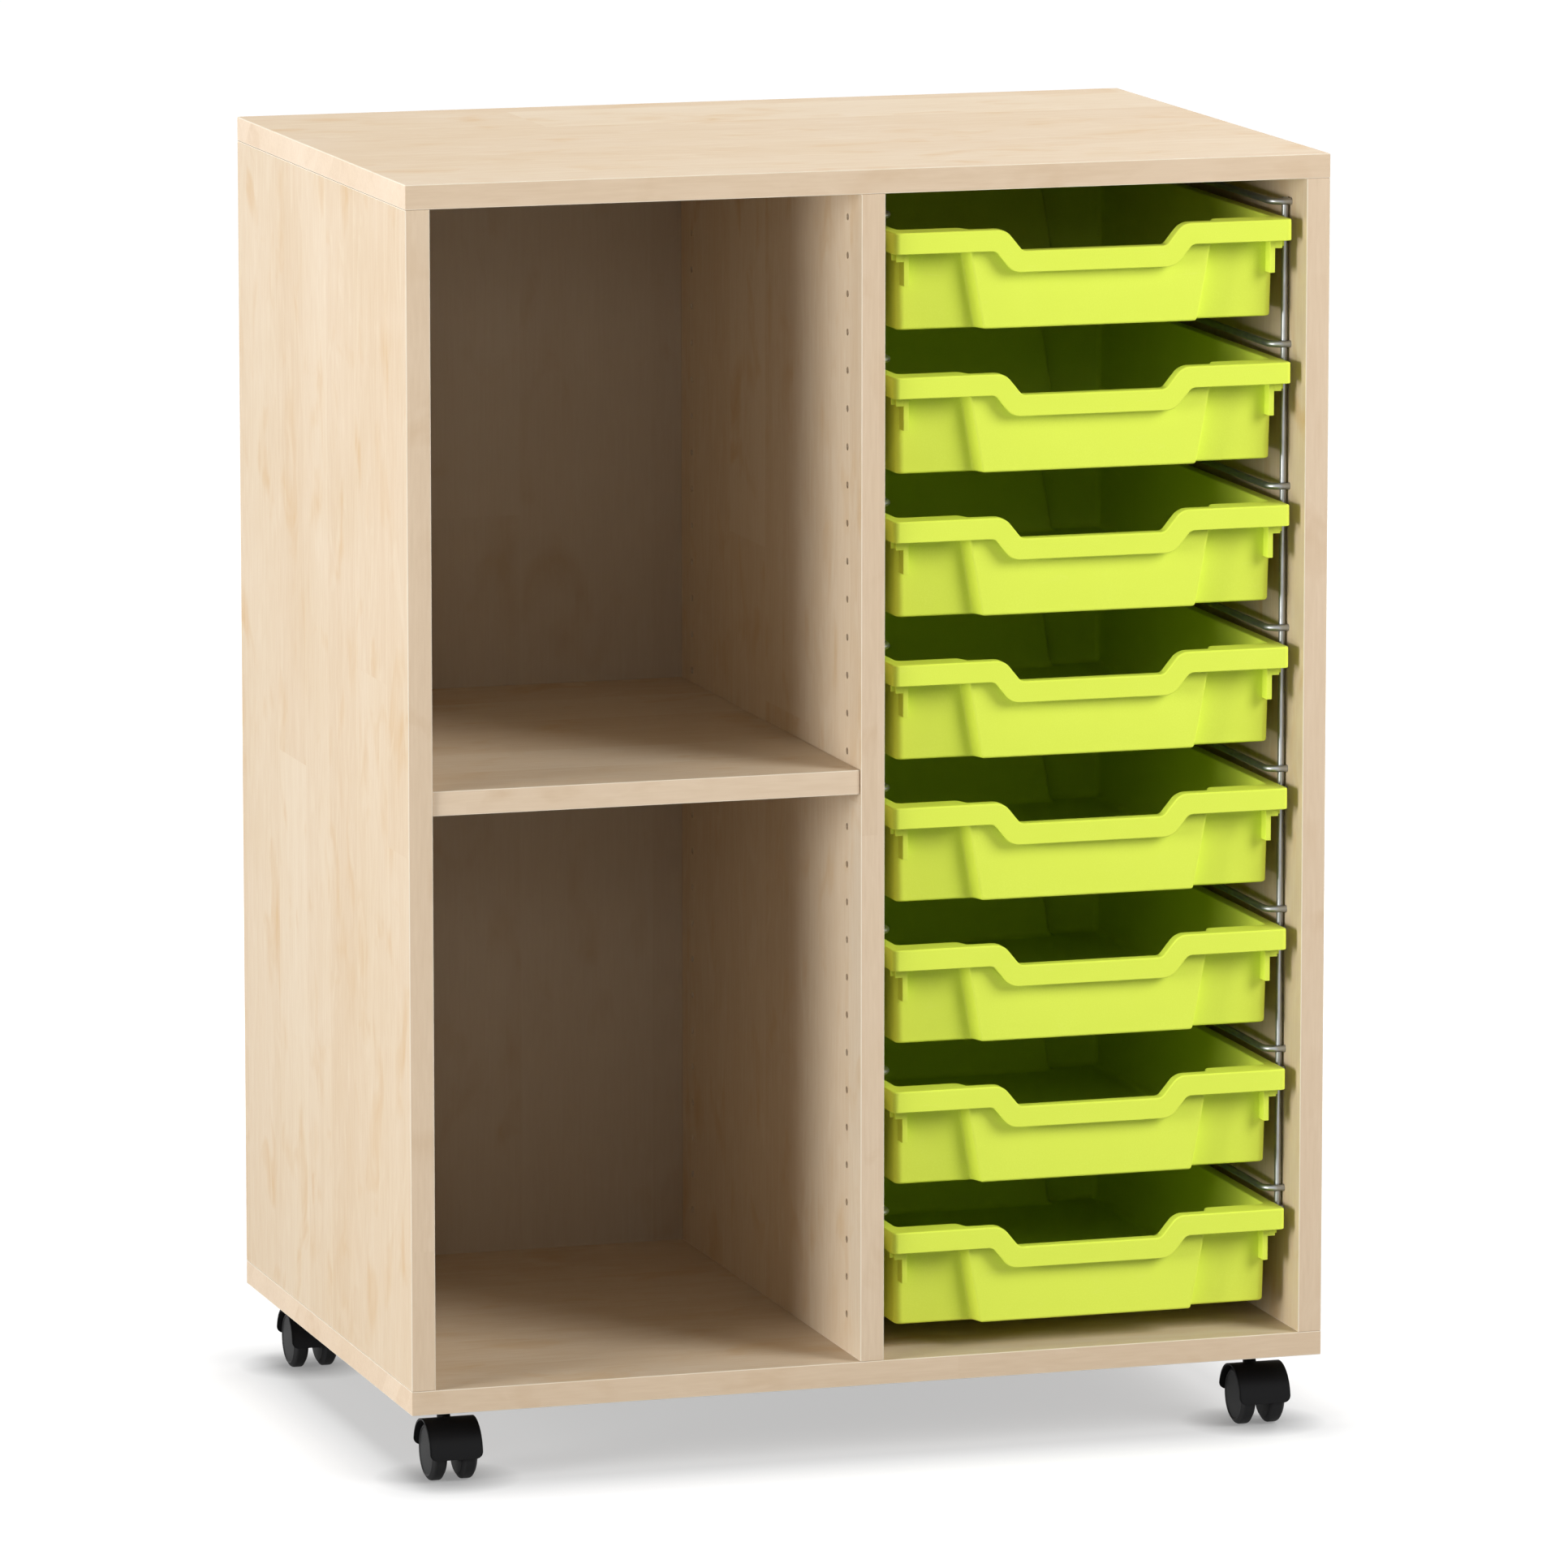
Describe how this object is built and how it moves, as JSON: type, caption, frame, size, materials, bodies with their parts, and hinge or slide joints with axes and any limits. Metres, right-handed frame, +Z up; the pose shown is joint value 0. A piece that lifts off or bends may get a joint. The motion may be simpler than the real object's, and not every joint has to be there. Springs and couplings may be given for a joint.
{
  "type": "classroom tray storage unit",
  "caption": "Mobile classroom storage unit in maple-effect board: an open bay with a shelf beside a column of lime plastic trays on welded wire runners, on twin-wheel castors.",
  "frame": {"origin": "on the floor under the middle of the unit's footprint", "axes": "+Z up, front of the unit towards -Y, so the tray bay is towards +X"},
  "size_m": [0.7, 0.48, 0.954],
  "materials": {
    "maple_board": "maple-effect melamine with matching edging",
    "beech_dowel": "plain beech",
    "lime_plastic": "moulded, fine satin texture",
    "steel_wire": "bright drawn wire, welded",
    "black_plastic": "moulded, satin",
    "wheel_plastic": "moulded, satin",
    "zinc_steel": "zinc plated"
  },
  "bodies": {
    "carcass": {"top_panel": "maple_board", "base_panel": "maple_board", "left_side_panel": "maple_board", "right_side_panel": "maple_board", "divider_panel": "maple_board", "back_panel": "maple_board", "shelf": "maple_board", "shelf_pin_1": "zinc_steel", "shelf_pin_2": "zinc_steel", "shelf_pin_3": "zinc_steel", "shelf_pin_4": "zinc_steel", "dowel_1": "beech_dowel", "dowel_2": "beech_dowel", "dowel_3": "beech_dowel", "dowel_4": "beech_dowel", "dowel_5": "beech_dowel", "dowel_6": "beech_dowel", "dowel_7": "beech_dowel", "dowel_8": "beech_dowel", "dowel_9": "beech_dowel", "dowel_10": "beech_dowel", "dowel_11": "beech_dowel", "dowel_12": "beech_dowel", "wire_frame_left": "steel_wire", "wire_frame_right": "steel_wire", "castor_socket_1": "zinc_steel", "castor_socket_2": "zinc_steel", "castor_socket_3": "zinc_steel", "castor_socket_4": "zinc_steel", "castor_stem_1": "black_plastic", "castor_stem_2": "black_plastic", "castor_stem_3": "black_plastic", "castor_stem_4": "black_plastic"},
    "tray_1": {"tray_1": "lime_plastic"},
    "tray_2": {"tray_2": "lime_plastic"},
    "tray_3": {"tray_3": "lime_plastic"},
    "tray_4": {"tray_4": "lime_plastic"},
    "tray_5": {"tray_5": "lime_plastic"},
    "tray_6": {"tray_6": "lime_plastic"},
    "tray_7": {"tray_7": "lime_plastic"},
    "tray_8": {"tray_8": "lime_plastic"},
    "castor_1": {"castor_hood_1": "black_plastic", "castor_axle_1": "zinc_steel"},
    "castor_1_wheel_left": {"castor_wheel_1_left": "wheel_plastic"},
    "castor_1_wheel_right": {"castor_wheel_1_right": "wheel_plastic"},
    "castor_2": {"castor_hood_2": "black_plastic", "castor_axle_2": "zinc_steel"},
    "castor_2_wheel_left": {"castor_wheel_2_left": "wheel_plastic"},
    "castor_2_wheel_right": {"castor_wheel_2_right": "wheel_plastic"},
    "castor_3": {"castor_hood_3": "black_plastic", "castor_axle_3": "zinc_steel"},
    "castor_3_wheel_left": {"castor_wheel_3_left": "wheel_plastic"},
    "castor_3_wheel_right": {"castor_wheel_3_right": "wheel_plastic"},
    "castor_4": {"castor_hood_4": "black_plastic", "castor_axle_4": "zinc_steel"},
    "castor_4_wheel_left": {"castor_wheel_4_left": "wheel_plastic"},
    "castor_4_wheel_right": {"castor_wheel_4_right": "wheel_plastic"}
  },
  "joints": [
    {"name": "tray_1_slide", "type": "slide", "parent": "carcass", "child": "tray_1", "axis": [0, -1, 0], "range_m": [0, 0.36]},
    {"name": "tray_2_slide", "type": "slide", "parent": "carcass", "child": "tray_2", "axis": [0, -1, 0], "range_m": [0, 0.36]},
    {"name": "tray_3_slide", "type": "slide", "parent": "carcass", "child": "tray_3", "axis": [0, -1, 0], "range_m": [0, 0.36]},
    {"name": "tray_4_slide", "type": "slide", "parent": "carcass", "child": "tray_4", "axis": [0, -1, 0], "range_m": [0, 0.36]},
    {"name": "tray_5_slide", "type": "slide", "parent": "carcass", "child": "tray_5", "axis": [0, -1, 0], "range_m": [0, 0.36]},
    {"name": "tray_6_slide", "type": "slide", "parent": "carcass", "child": "tray_6", "axis": [0, -1, 0], "range_m": [0, 0.36]},
    {"name": "tray_7_slide", "type": "slide", "parent": "carcass", "child": "tray_7", "axis": [0, -1, 0], "range_m": [0, 0.36]},
    {"name": "tray_8_slide", "type": "slide", "parent": "carcass", "child": "tray_8", "axis": [0, -1, 0], "range_m": [0, 0.36]},
    {"name": "castor_1_swivel", "type": "hinge", "parent": "carcass", "child": "castor_1", "pos_m": [-0.3122, -0.1883, 0.04], "axis": [0, 0, 1], "continuous": true},
    {"name": "castor_1_roll_left", "type": "hinge", "parent": "castor_1", "child": "castor_1_wheel_left", "pos_m": [-0.32365, -0.2005, 0.0217], "axis": [1, 0, 0], "continuous": true},
    {"name": "castor_1_roll_right", "type": "hinge", "parent": "castor_1", "child": "castor_1_wheel_right", "pos_m": [-0.30075, -0.2005, 0.0217], "axis": [1, 0, 0], "continuous": true},
    {"name": "castor_2_swivel", "type": "hinge", "parent": "carcass", "child": "castor_2", "pos_m": [0.3122, -0.1883, 0.04], "axis": [0, 0, 1], "continuous": true},
    {"name": "castor_2_roll_left", "type": "hinge", "parent": "castor_2", "child": "castor_2_wheel_left", "pos_m": [0.30075, -0.2005, 0.0217], "axis": [1, 0, 0], "continuous": true},
    {"name": "castor_2_roll_right", "type": "hinge", "parent": "castor_2", "child": "castor_2_wheel_right", "pos_m": [0.32365, -0.2005, 0.0217], "axis": [1, 0, 0], "continuous": true},
    {"name": "castor_3_swivel", "type": "hinge", "parent": "carcass", "child": "castor_3", "pos_m": [-0.3122, 0.2077, 0.04], "axis": [0, 0, 1], "continuous": true},
    {"name": "castor_3_roll_left", "type": "hinge", "parent": "castor_3", "child": "castor_3_wheel_left", "pos_m": [-0.32365, 0.1955, 0.0217], "axis": [1, 0, 0], "continuous": true},
    {"name": "castor_3_roll_right", "type": "hinge", "parent": "castor_3", "child": "castor_3_wheel_right", "pos_m": [-0.30075, 0.1955, 0.0217], "axis": [1, 0, 0], "continuous": true},
    {"name": "castor_4_swivel", "type": "hinge", "parent": "carcass", "child": "castor_4", "pos_m": [0.3122, 0.2077, 0.04], "axis": [0, 0, 1], "continuous": true},
    {"name": "castor_4_roll_left", "type": "hinge", "parent": "castor_4", "child": "castor_4_wheel_left", "pos_m": [0.30075, 0.1955, 0.0217], "axis": [1, 0, 0], "continuous": true},
    {"name": "castor_4_roll_right", "type": "hinge", "parent": "castor_4", "child": "castor_4_wheel_right", "pos_m": [0.32365, 0.1955, 0.0217], "axis": [1, 0, 0], "continuous": true}
  ]
}
